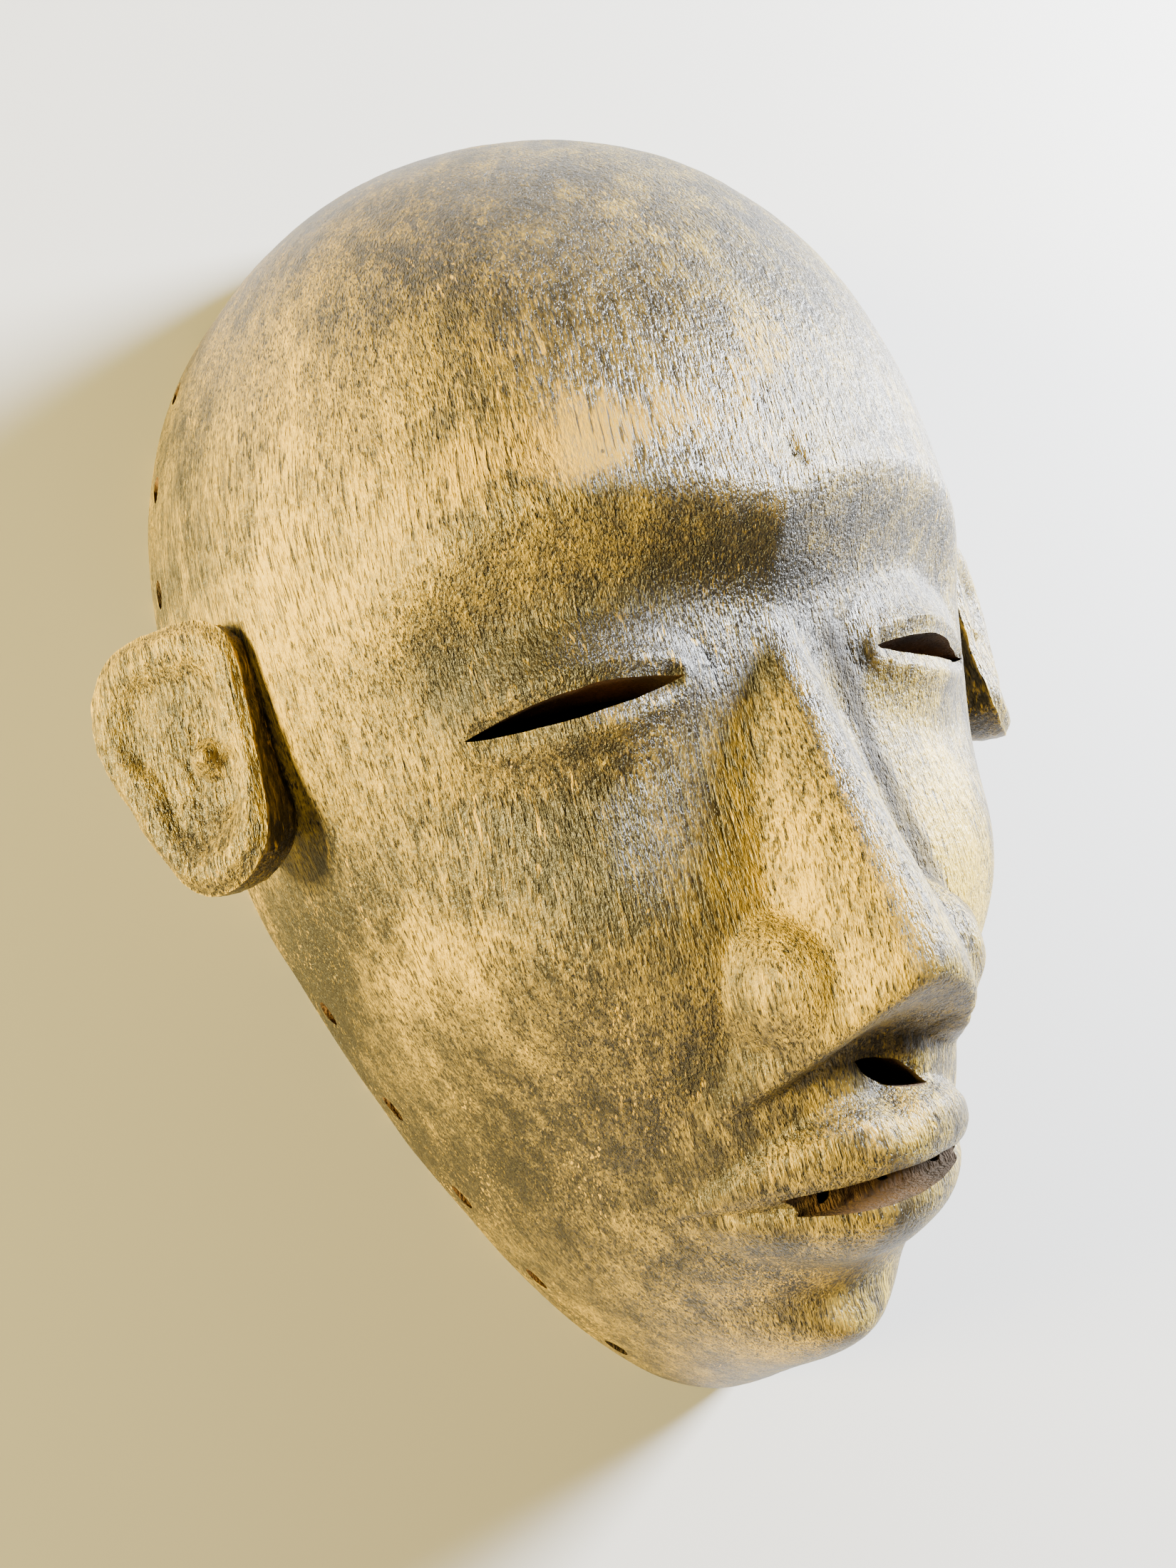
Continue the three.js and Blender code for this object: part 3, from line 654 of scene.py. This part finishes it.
class Nodes:
    """Short calls for building a node tree."""

    def __init__(self, material):
        material.use_nodes = True
        self.tree = material.node_tree
        self.tree.nodes.clear()

    def add(self, kind, **settings):
        node = self.tree.nodes.new(kind)
        for name, value in settings.items():
            setattr(node, name, value)
        return node

    def link(self, source, target):
        self.tree.links.new(source, target)

    def feed(self, socket, value):
        if hasattr(value, "is_output"):
            self.link(value, socket)
        else:
            socket.default_value = value

    def math(self, operation, a, b=0.0, clamp=False):
        node = self.add("ShaderNodeMath", operation=operation, use_clamp=clamp)
        self.feed(node.inputs[0], a)
        self.feed(node.inputs[1], b)
        return node.outputs[0]

    def ramp(self, value, low_edge, high_edge, low_value=0.0, high_value=1.0):
        node = self.add("ShaderNodeMapRange", interpolation_type="SMOOTHSTEP", clamp=True)
        self.feed(node.inputs["Value"], value)
        node.inputs["From Min"].default_value = low_edge
        node.inputs["From Max"].default_value = high_edge
        node.inputs["To Min"].default_value = low_value
        node.inputs["To Max"].default_value = high_value
        return node.outputs[0]

    def mix(self, share, a, b):
        node = self.add("ShaderNodeMix", data_type="RGBA")
        self.feed(node.inputs["Factor"], share)
        self.feed(node.inputs[6], a)
        self.feed(node.inputs[7], b)
        return node.outputs[2]

    def place(self, cell, turn=0.0, shift=(0.0, 0.0, 0.0), base=None):
        """Object coordinates with cell millimetres to one unit of noise, turned by degrees about Z."""
        node = self.add("ShaderNodeMapping", vector_type="POINT")
        self.link(base or self.object_place(), node.inputs["Vector"])
        node.inputs["Location"].default_value = shift
        node.inputs["Rotation"].default_value = (0.0, 0.0, math.radians(turn))
        node.inputs["Scale"].default_value = [1 / (c * MM) for c in cell]
        return node.outputs[0]

    def object_place(self):
        if not hasattr(self, "coordinates"):
            self.coordinates = self.add("ShaderNodeTexCoord").outputs["Object"]
        return self.coordinates

    def noise(self, vector, detail, rough):
        node = self.add("ShaderNodeTexNoise")
        self.link(vector, node.inputs["Vector"])
        node.inputs["Scale"].default_value = 1.0
        node.inputs["Detail"].default_value = detail
        node.inputs["Roughness"].default_value = rough
        node.inputs["Distortion"].default_value = 0.0
        return node.outputs["Fac"]

    def cells(self, vector):
        node = self.add("ShaderNodeTexVoronoi", feature="F1")
        self.link(vector, node.inputs["Vector"])
        node.inputs["Scale"].default_value = 1.0
        return node.outputs["Distance"]

    def close(self, shader, height, strength):
        """The fine relief, in millimetres, and the way out of the tree."""
        bumps = self.add("ShaderNodeBump")
        bumps.inputs["Strength"].default_value = strength
        bumps.inputs["Distance"].default_value = MM
        self.link(height, bumps.inputs["Height"])
        self.link(bumps.outputs[0], shader.inputs["Normal"])
        self.link(shader.outputs[0], self.add("ShaderNodeOutputMaterial").inputs["Surface"])

    def mask(self, name):
        return self.add("ShaderNodeAttribute", attribute_name=name).outputs["Fac"]


# Colours of the wood, from the deepest patina to what lies under it; the dark and gold ends of the tone also
# carry painted shade and painted light
DARK = (0.020, 0.016, 0.010, 1)
PATINA = (0.080, 0.060, 0.028, 1)
KHAKI = (0.245, 0.172, 0.030, 1)
GOLD = (0.580, 0.390, 0.034, 1)
OCHRE = (0.680, 0.435, 0.038, 1)
RAW = (0.150, 0.078, 0.028, 1)
RAW_DARK = (0.036, 0.022, 0.011, 1)
HEWN = (0.150, 0.096, 0.050, 1)
HEWN_DARK = (0.060, 0.040, 0.024, 1)
# the crust's colour, also used for cracks and pits; by the nose it is partly painted shade
CRUST = (0.020, 0.015, 0.010, 1)

# How strongly each grain swings the patina's tone, and how high it stands in millimetres
SWING = {
    "cloud": 1.6,
    "cloud_small": 1.5,
    "mottle": 1.5,
    "streak": 1.6,
    "fibre": 1.7,
    "speckle": 1.5,
    "grit": 1.3,
    "pore": 1.05,
}
STANDS = {
    "speckle": 0.34,
    "grit": 0.24,
    "fibre": 0.30,
    "pore": 0.26,
    "check": 0.16,
    "pit": 0.25,
    "ding": 0.06,
    "crust": 0.80,
}
# How far each mark covers the wood under it
COVERS = {"ochre": 0.75, "scratch": 0.60, "ding": 0.85, "check": 0.90, "pit": 0.90, "crust": 0.85}


def patinated_wood():
    """The mask's outside: a dark patina, rubbed to khaki and gold, with worn, cracked and crusted places, and
    painted light and shade laid into its tone and crust.
    """
    material = bpy.data.materials.new("patinated_wood")
    n = Nodes(material)
    # fibres run up the block, bent a little by the growth of the wood
    bend = n.add("ShaderNodeVectorMath", operation="MULTIPLY_ADD")
    wander = n.add("ShaderNodeTexNoise")
    n.link(n.place((30, 45, 30)), wander.inputs["Vector"])
    wander.inputs["Scale"].default_value = 1.0
    wander.inputs["Detail"].default_value = 1.0
    n.link(wander.outputs["Color"], bend.inputs[0])
    bend.inputs[1].default_value = (0.006, 0.0, 0.006)
    n.link(n.object_place(), bend.inputs[2])
    bent = bend.outputs[0]

    speckle = n.noise(n.place((0.34, 1.3, 0.34), base=bent), 2.0, 0.6)
    grit = n.noise(n.place((0.55, 0.85, 0.55), shift=(31, 7, 5)), 2.0, 0.6)
    fibre = n.noise(n.place((0.62, 6.5, 0.62), shift=(3, 1, 7), base=bent), 2.0, 0.6)
    streak = n.noise(n.place((2.2, 26.0, 2.2), shift=(9, 4, 2), base=bent), 2.0, 0.55)
    cloud = n.noise(n.place((24, 30, 24), shift=(1, 8, 3)), 3.0, 0.55)
    cloud_small = n.noise(n.place((7, 10, 7), shift=(5, 2, 8)), 3.0, 0.6)

    def around(value, share):
        """A noise made to swing about zero."""
        return n.math("MULTIPLY", n.math("SUBTRACT", value, 0.5), share)

    def swing(name, value):
        return around(value, SWING[name])

    # short dark checks along the fibres, in patches
    check = n.noise(n.place((0.50, 7.0, 0.50), shift=(13, 5, 1), base=bent), 1.0, 0.5)
    check_zone = n.noise(n.place((20, 26, 20), shift=(4, 4, 9)), 2.0, 0.5)
    checks = n.math("MULTIPLY", n.ramp(check, 0.60, 0.67), n.ramp(check_zone, 0.38, 0.54))
    pit = n.cells(n.place((5.2, 6.5, 5.2), shift=(2, 9, 6)))
    pits = n.ramp(pit, 0.062, 0.040)

    # light scratches and dings where the patina is knocked off
    ding_a = n.noise(n.place((0.45, 5.5, 0.8), turn=55, shift=(2, 6, 1)), 1.0, 0.5)
    ding_b = n.noise(n.place((0.45, 4.5, 0.8), turn=-35, shift=(8, 3, 5)), 1.0, 0.5)
    ding_spot = n.noise(n.place((1.7, 2.2, 1.7), shift=(6, 1, 4)), 1.5, 0.5)
    ding_zone = n.noise(n.place((12, 15, 12), shift=(7, 7, 1)), 2.0, 0.5)
    dings = n.math("MAXIMUM", n.ramp(ding_a, 0.665, 0.705), n.ramp(ding_b, 0.665, 0.705))
    dings = n.math("MAXIMUM", dings, n.ramp(ding_spot, 0.715, 0.750))
    knocked = n.math("ADD", ding_zone, n.math("MULTIPLY", n.mask("ochre"), 0.30))
    dings = n.math("MULTIPLY", dings, n.ramp(knocked, 0.54, 0.66))
    scratch_a = n.noise(n.place((0.28, 11.0, 0.6), turn=62, shift=(4, 9, 1)), 1.0, 0.5)
    scratch_b = n.noise(n.place((0.26, 8.0, 0.6), turn=-48, shift=(1, 4, 7)), 1.0, 0.5)
    scratches = n.math("MAXIMUM", n.ramp(scratch_a, 0.660, 0.710), n.ramp(scratch_b, 0.660, 0.710))
    scratches = n.math("MULTIPLY", scratches, n.ramp(cloud_small, 0.42, 0.58, 0.15, 0.85))

    ochre = n.math("ADD", n.mask("ochre"), around(cloud_small, 0.9))
    ochre = n.math("ADD", ochre, n.math("ADD", around(speckle, 0.8), around(fibre, 0.8)))
    ochre = n.ramp(ochre, 0.36, 0.86)

    # the patina's tone, from dark to rubbed gold
    mottle = n.noise(n.place((3.4, 6.0, 3.4), shift=(17, 2, 6)), 3.0, 0.62)
    clouds = n.math("ADD", swing("cloud", cloud), swing("cloud_small", cloud_small))
    light = n.math("ADD", n.mask("tone"), clouds)
    light = n.math("ADD", light, n.math("MULTIPLY", n.mask("busy"), swing("mottle", mottle)))
    light = n.math("ADD", light, n.math("ADD", swing("streak", streak), swing("fibre", fibre)))
    light = n.math("ADD", light, n.math("ADD", swing("speckle", speckle), swing("grit", grit)))
    pore = n.noise(n.place((0.26, 2.4, 0.26), shift=(21, 3, 8), base=bent), 1.0, 0.5)
    light = n.math("SUBTRACT", light, n.ramp(pore, 0.57, 0.70, 0.0, SWING["pore"]))
    # the patina's tone, from dark to rubbed gold, with painted light and painted shade from the tone mask

    colour = n.mix(n.ramp(light, -0.45, 0.40), DARK, PATINA)
    colour = n.mix(n.ramp(light, 0.10, 1.00), colour, KHAKI)
    colour = n.mix(n.ramp(light, 0.75, 1.80), colour, GOLD)
    colour = n.mix(n.math("MULTIPLY", ochre, COVERS["ochre"]), colour, OCHRE)
    colour = n.mix(n.math("MULTIPLY", scratches, COVERS["scratch"]), colour, GOLD)
    colour = n.mix(n.math("MULTIPLY", dings, COVERS["ding"]), colour, OCHRE)
    colour = n.mix(n.math("MULTIPLY", checks, COVERS["check"]), colour, CRUST)
    colour = n.mix(n.math("MULTIPLY", pits, COVERS["pit"]), colour, CRUST)
    # crusted dirt by the nose and under its foot, partly painted shade, strongest on the far side
    crust = n.ramp(n.math("ADD", n.mask("crust"), around(cloud_small, 1.2)), 0.35, 0.95)
    crust = n.math("MULTIPLY", crust, n.ramp(grit, 0.20, 0.55, 0.55, 1.0))
    colour = n.mix(n.math("MULTIPLY", crust, COVERS["crust"]), colour, CRUST)

    shader = n.add("ShaderNodeBsdfPrincipled")
    n.link(colour, shader.inputs["Base Color"])
    rough = n.math("ADD", n.ramp(cloud, 0.35, 0.65, 0.36, 0.46), around(speckle, 0.22))
    rough = n.math("ADD", rough, n.math("MULTIPLY", crust, 0.35))
    rough = n.math("ADD", rough, n.math("MULTIPLY", ochre, 0.30), clamp=True)
    n.link(rough, shader.inputs["Roughness"])
    shader.inputs["Specular IOR Level"].default_value = 0.5

    height = n.math("MULTIPLY", speckle, STANDS["speckle"])
    for name, value in (("grit", grit), ("fibre", fibre)):
        height = n.math("ADD", height, n.math("MULTIPLY", value, STANDS[name]))
    height = n.math("SUBTRACT", height, n.ramp(pore, 0.57, 0.70, 0.0, STANDS["pore"]))
    for name, value in (("check", checks), ("pit", pits), ("ding", dings)):
        height = n.math("SUBTRACT", height, n.math("MULTIPLY", value, STANDS[name]))
    crust_grit = n.noise(n.place((0.8, 1.4, 0.8), shift=(3, 3, 3)), 3.0, 0.7)
    height = n.math("ADD", height, n.math("MULTIPLY", n.math("MULTIPLY", crust_grit, crust), STANDS["crust"]))
    n.close(shader, height, 1.0)
    return material


def cut_wood(name, light, dark, rough_value):
    """Bare wood in the hollow and in the cuts, with open fibres."""
    material = bpy.data.materials.new(name)
    n = Nodes(material)
    fibre = n.noise(n.place((0.6, 9.0, 0.6)), 3.0, 0.6)
    speckle = n.noise(n.place((0.5, 1.3, 0.5), shift=(2, 5, 1)), 2.0, 0.6)
    cloud = n.noise(n.place((18, 26, 18), shift=(6, 2, 4)), 3.0, 0.55)
    colour = n.mix(n.ramp(cloud, 0.36, 0.66), light, dark)
    colour = n.mix(n.ramp(fibre, 0.42, 0.66, 0.0, 0.55), colour, dark)
    colour = n.mix(n.ramp(speckle, 0.46, 0.30, 0.0, 0.5), colour, DARK)
    shader = n.add("ShaderNodeBsdfPrincipled")
    n.link(colour, shader.inputs["Base Color"])
    shader.inputs["Roughness"].default_value = rough_value
    shader.inputs["Specular IOR Level"].default_value = 0.25
    height = n.math("ADD", n.math("MULTIPLY", fibre, 0.55), n.math("MULTIPLY", speckle, 0.45))
    n.close(shader, height, 0.9)
    return material


# The mask

# Worn places, and tone patches that are partly painted light and painted shade, as strength, then middle and
# reach across and along on the plan of the face
OCHRE_PATCHES = (
    (0.62, (-12, 32, 20, 5)),
    (0.66, (4, 41, 9, 7)),
    (0.50, (-26, 29, 8, 6)),
    (0.55, (-42, 31, 14, 9)),
    (0.35, (-30, 52, 16, 12)),
    (0.45, (0, -30, 6, 20)),
    (0.55, (0, -64, 22, 4)),
    (0.60, (0, -87, 20, 5)),
    (0.30, (-52, -22, 10, 6)),
)
TONE_AND_LIGHT_PATCHES = (
    # painted light on the temple, which faces the warm light
    (0.95, (-64, 20, 12, 26)),
    (0.50, (-60, 52, 15, 20)),
    (-0.40, (-24, 70, 22, 14)),
    (0.35, (-46, 27, 14, 9)),
    (-0.20, (20, 80, 30, 16)),
    # painted highlight: a cool sheen on the far side of the forehead
    (0.30, (8, 25, 12, 9)),
    # painted shade on the lower middle of the forehead, under the brow
    (-1.40, (-12, 6, 18, 9)),
    # painted shade under the near brow
    (-1.00, (-41, 6, 13, 6)),
    # painted shade round the far brow
    (-0.45, (22, 10, 20, 9)),
    # painted highlight: a gold band across the near cheek
    (1.10, (-56, -30, 12, 8)),
    # painted shade beyond the near cheek's highlight
    (-1.50, (-70, -30, 7, 16)),
    (-0.75, (-38, -26, 10, 12)),
    (-0.60, (-46, -62, 18, 14)),
    (0.50, (0, -104, 20, 10)),
    # painted light on the near side of the nose
    (1.00, (-10, -32, 8, 18)),
    # painted shade on the far side of the nose
    (-0.45, (12, -24, 4, 20)),
    # painted highlight: a bright sheen on the far cheek
    (1.60, (26, -32, 14, 24)),
    (0.40, (0, -72, 26, 12)),
)
# These lie on both sides of the face
TONE_AND_LIGHT_PAIRS = (
    (-0.15, (15, 0, 8, 12)),
    # painted light that lifts the shade under the brow ridge
    (0.12, (27, 10, 31, 5)),
    (-0.30, (24, -56, 8, 12)),
)

# Tone of the plain patina, and the bend in millimetres that counts as a full ridge or hollow
PLAIN_TONE = 0.36
SHARP_BEND = 0.28


def paint_masks(mesh):
    """Where the wood is worn to ochre, darkened or crusted, and where painted light and painted shade lie in
    its tone, as one value a vertex.
    """
    count = len(mesh.vertices)
    places = np.empty(count * 3)
    mesh.vertices.foreach_get("co", places)
    places = places.reshape(-1, 3) / MM
    normals = np.empty(count * 3)
    mesh.vertices.foreach_get("normal", normals)
    normals = normals.reshape(-1, 3)
    edges = np.empty(len(mesh.edges) * 2, dtype=np.int64)
    mesh.edges.foreach_get("vertices", edges)
    edges = edges.reshape(-1, 2)
    degree = np.maximum(np.bincount(edges.ravel(), minlength=count), 1)[:, None]
    smooth = places.copy()
    for _ in range(3):
        total = np.zeros_like(smooth)
        np.add.at(total, edges[:, 0], smooth[edges[:, 1]])
        np.add.at(total, edges[:, 1], smooth[edges[:, 0]])
        smooth = 0.5 * smooth + 0.5 * total / degree
    bend = np.einsum("ij,ij->i", places - smooth, normals)
    ridge = np.clip(bend / SHARP_BEND, 0, 1)
    hollow = np.clip(-bend / SHARP_BEND, 0, 1)

    x, y, z = places[:, 0] / SX, places[:, 1] / SY, places[:, 2]
    ax = np.abs(x)
    front = step(20, 40, z)
    ochre = 0.15 * ridge
    ochre += front * sum(high * bump(x, y, *where) for high, where in OCHRE_PATCHES)
    ochre += 0.55 * (1 - step(1.5, 12, z)) * (0.5 + 0.5 * value_noise(places, (20, 20, 20), 121))
    # painted shade in the hollows; the ridges lighter with wear
    tone = PLAIN_TONE - 0.12 * hollow + 0.12 * ridge
    # tone patches, many of them painted light and painted shade
    tone += sum(high * bump(x, y, *where) for high, where in TONE_AND_LIGHT_PATCHES)
    tone += sum(high * front * bump(ax, y, *where) for high, where in TONE_AND_LIGHT_PAIRS)
    # the ears' sides that face the head are painted dark, as shade between ear and head
    outward = normals[:, 0] * np.sign(places[:, 0])
    on_ear = (np.abs(places[:, 0]) > EAR_WITHIN["out"]) & (z > EAR_WITHIN["over"])
    on_ear &= np.abs(places[:, 1] - EAR_AT[0]) < EAR_WITHIN["along"]
    tone -= 1.1 * on_ear * step(0.25, 0.75, -outward)
    # the ears lighter overall, lighter on their worn ridges, and painted darker in their hollows as shade
    tone += on_ear * (0.35 + 0.7 * ridge - 0.9 * hollow)
    ochre += 0.45 * on_ear * ridge
    # crust, partly painted shade of the nose
    crust = crust_and_shade_mask(x, y) * front
    busy = 0.50 + 0.35 * (1 - step(-40, 10, y))
    for name, values in (("ochre", ochre), ("tone", tone), ("crust", crust), ("busy", busy)):
        layer = mesh.attributes.new(name, "FLOAT", "POINT")
        layer.data.foreach_set("value", np.clip(values, -1.0, 2.0).astype(np.float32))


def carved_mask():
    """The whole mask: head and ears in one, then the hollow, the slits and the holes cut out of it."""
    outside = patinated_wood()
    inside = cut_wood("hollow_wood", HEWN, HEWN_DARK, 0.72)
    raw = cut_wood("raw_wood", RAW, RAW_DARK, 0.88)
    mask = outer_solid()
    mask.name = "mask_carving"
    for material in (outside, inside, raw):
        mask.data.materials.append(material)
    for side in (1, -1):
        ear = ear_solid(side)
        ear.data.materials.append(outside)
        boolean(mask, ear, "UNION")
    cutter = hollow_cutter()
    cutter.data.materials.append(inside)
    boolean(mask, cutter, "DIFFERENCE")
    cutters = [
        slit_cutter(EYE_SLIT, 1, RIM_WIDE, 131),
        slit_cutter(EYE_SLIT, -1, RIM_WIDE, 133),
        slit_cutter(LIP_SLOT, 1, RIM_WIDE, 135),
        mouth_cutter(),
        *mouth_bores(),
        *tie_cutters(),
    ]
    for cutter in cutters:
        cutter.data.materials.append(raw)
        boolean(mask, cutter, "DIFFERENCE")
    mesh = mask.data
    mesh.polygons.foreach_set("use_smooth", [True] * len(mesh.polygons))
    mesh.set_sharp_from_angle(angle=math.radians(SHARP_EDGE))
    paint_masks(mesh)
    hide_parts("carved_mask")
    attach(mask, "root")


# Floor, light and camera

# Height of the mask's middle in millimetres, and the place in metres that the lights face
MIDDLE_HIGH = 45.0
LIGHT_AIM = (0, 0, 0.05)


def floor():
    half = 6.0
    mesh = bpy.data.meshes.new("floor")
    corners = [(-half, -half, 0), (half, -half, 0), (half, half, 0), (-half, half, 0)]
    mesh.from_pydata(corners, [], [(0, 1, 2, 3)])
    made = bpy.data.objects.new("floor", mesh)
    bpy.context.scene.collection.objects.link(made)
    material = bpy.data.materials.new("pale_floor")
    material.use_nodes = True
    shader = material.node_tree.nodes["Principled BSDF"]
    shader.inputs["Base Color"].default_value = (0.56, 0.55, 0.53, 1)
    shader.inputs["Roughness"].default_value = 0.9
    mesh.materials.append(material)


def area_light(name, at, aim, size, power, colour):
    data = bpy.data.lights.new(name, "AREA")
    data.shape = "RECTANGLE"
    data.size, data.size_y = size
    data.energy = power
    data.color = colour
    lamp = bpy.data.objects.new(name, data)
    bpy.context.scene.collection.objects.link(lamp)
    lamp.location = at
    lamp.rotation_euler = (Vector(aim) - Vector(at)).to_track_quat("-Z", "Y").to_euler()


def lights():
    """A warm low light from the left, a cool one from the upper right and a faint one below the chin."""
    world = bpy.data.worlds.new("studio")
    world.use_nodes = True
    background = world.node_tree.nodes["Background"]
    background.inputs["Color"].default_value = (0.80, 0.86, 0.95, 1)
    background.inputs["Strength"].default_value = 0.08
    bpy.context.scene.world = world
    area_light("key", (-1.0, 0.15, 0.20), LIGHT_AIM, (0.28, 0.28), 60, (1.0, 0.79, 0.26))
    area_light("sky", (0.92, 0.34, 0.42), LIGHT_AIM, (0.32, 0.32), 132, (0.90, 0.94, 1.0))
    area_light("low", (-0.30, -0.95, 0.50), LIGHT_AIM, (0.6, 0.4), 5, (1.0, 0.80, 0.48))


# The photograph's viewpoint: degrees round and over the face, millimetres to the mask's middle
VIEW = {"round": -22.0, "over": -6.0, "roll": -13.2, "far": 181.5, "right": -14.6, "up": -11.4, "lens": 25.5}


def camera():
    a = math.radians(VIEW["round"])
    e = math.radians(VIEW["over"])
    r = math.radians(VIEW["roll"])
    back = Vector((math.sin(a) * math.cos(e), math.sin(e), math.cos(a) * math.cos(e)))
    right = Vector((0, 1, 0)).cross(back).normalized()
    up = back.cross(right)
    turned_right = right * math.cos(r) + up * math.sin(r)
    turned_up = up * math.cos(r) - right * math.sin(r)
    aim = turned_right * VIEW["right"] + turned_up * VIEW["up"] + Vector((0, 0, MIDDLE_HIGH))
    place = (aim + back * VIEW["far"]) * MM
    data = bpy.data.cameras.new("camera")
    data.sensor_width = 36
    data.lens = VIEW["lens"]
    data.clip_start = 0.01
    made = bpy.data.objects.new("camera", data)
    bpy.context.scene.collection.objects.link(made)
    axes = Matrix((turned_right, turned_up, back)).transposed()
    made.matrix_world = Matrix.Translation(place) @ axes.to_4x4()
    bpy.context.scene.camera = made


carved_mask()
floor()
lights()
camera()
